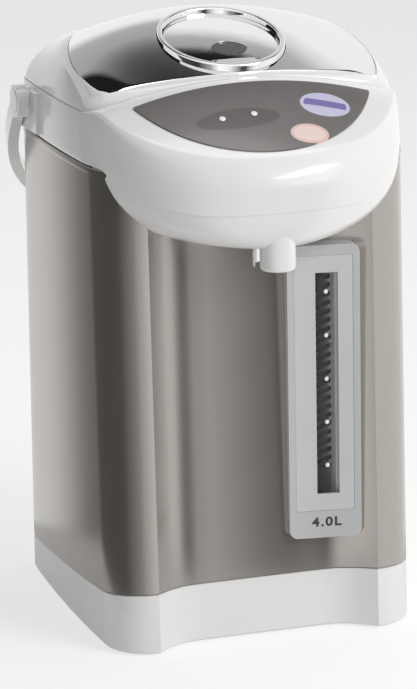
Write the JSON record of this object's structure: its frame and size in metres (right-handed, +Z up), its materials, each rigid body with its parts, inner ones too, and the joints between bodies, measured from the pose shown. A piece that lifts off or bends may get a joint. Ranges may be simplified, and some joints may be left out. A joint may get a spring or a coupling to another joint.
{
  "type": "electric thermo pot",
  "caption": "Square-shouldered electric thermo pot with a beaked spout, an upright sight gauge, a bail handle and a hinged domed lid that holds an air pump and a steam vent.",
  "frame": {"origin": "on the floor, under the middle of the body", "axes": "+Z up, the spout and the gauge face -Y, +X is to the right of the gauge's viewer"},
  "size_m": [0.2088, 0.2959, 0.3529],
  "materials": {
    "white_plastic": "gloss white moulding",
    "inner_plastic": "satin off-white moulding",
    "jacket": "metallic taupe lacquer on steel sheet",
    "chrome": "bright plating",
    "steel": "drawn stainless steel",
    "aluminium": "cast, plain",
    "rubber": "matt rubber",
    "silicone": "milky silicone",
    "black_plastic": "matt black moulding",
    "gauge_silver": "silver lacquered moulding",
    "gauge_face": "light silver inlay",
    "glass": "clear",
    "panel_film": "taupe film, satin gloss",
    "lamp_lens": "milky lens",
    "card": "dark striped card",
    "board": "green laminate",
    "ceramic": "cream insulator",
    "mica": "insulated band",
    "brass": "plain"
  },
  "bodies": {
    "pot": {"rubber_feet": "rubber", "bottom_plate": "inner_plastic", "bottom_screws": "steel", "base_cover": "white_plastic", "body_jacket": "jacket", "inlet_housing": "black_plastic", "inlet_pins": "brass", "pot_bracket": "steel", "bracket_nut": "steel", "heater_plate": "aluminium", "thermostats": "ceramic", "thermal_fuse": "ceramic", "keep_warm_band": "mica", "inner_pot": "steel", "outlet_elbow": "steel", "lower_hose": "silicone", "level_tube": "glass", "upper_hose": "silicone", "valve_housing": "inner_plastic", "spout_pipe": "silicone", "nozzle": "white_plastic", "nozzle_guard": "chrome", "spout_cover": "white_plastic", "collar": "white_plastic", "mouth_ring": "inner_plastic", "control_panel": "panel_film", "lamp_lenses": "lamp_lens", "control_board": "board", "gauge_frame": "gauge_silver", "gauge_panel": "gauge_face", "gauge_window": "glass", "gauge_channel": "inner_plastic", "gauge_card": "card", "handle_mounts": "white_plastic", "handle_pins": "steel", "hinge_bracket": "white_plastic", "hinge_pin": "steel", "catch_plate": "steel"},
    "tip_valve": {"valve_weight": "steel"},
    "handle": {"bail_handle": "white_plastic", "handle_caps": "white_plastic"},
    "lid": {"lid_hinge_lug": "inner_plastic", "lid_shell": "white_plastic", "lid_cap": "chrome", "plate_ring": "chrome", "pump_housing": "inner_plastic", "lid_tray": "white_plastic", "inner_lid": "steel", "lid_gasket": "silicone", "bellows": "rubber", "return_spring": "steel", "vent_tube": "inner_plastic", "latch_pin": "steel"},
    "latch": {"lid_latch": "chrome"},
    "press": {"press_plate": "chrome", "bellows_head": "inner_plastic", "vent_insert": "black_plastic"}
  },
  "joints": [
    {"name": "lid_hinge", "type": "hinge", "parent": "pot", "child": "lid", "pos_m": [0, 0.094, 0.3135], "axis": [-1, 0, 0], "range_deg": [0, 80]},
    {"name": "press_slide", "type": "slide", "parent": "lid", "child": "press", "axis": [0, 0, -1], "range_m": [0, 0.014], "stiffness_N_per_m": 300, "springref_m": -0.012, "deforming": ["bellows", "return_spring"]},
    {"name": "latch_pivot", "type": "hinge", "parent": "lid", "child": "latch", "pos_m": [0, -0.0585, 0.32185], "axis": [1, 0, 0], "range_deg": [0, 14], "stiffness_Nm_per_rad": 0.05, "springref_deg": -17.19},
    {"name": "handle_swing", "type": "hinge", "parent": "pot", "child": "handle", "pos_m": [0, 0.045, 0.2985], "axis": [1, 0, 0], "range_deg": [0, 129]},
    {"name": "tip_valve_lift", "type": "slide", "parent": "pot", "child": "tip_valve", "axis": [0, 0, 1], "range_m": [0, 0.0042]}
  ]
}
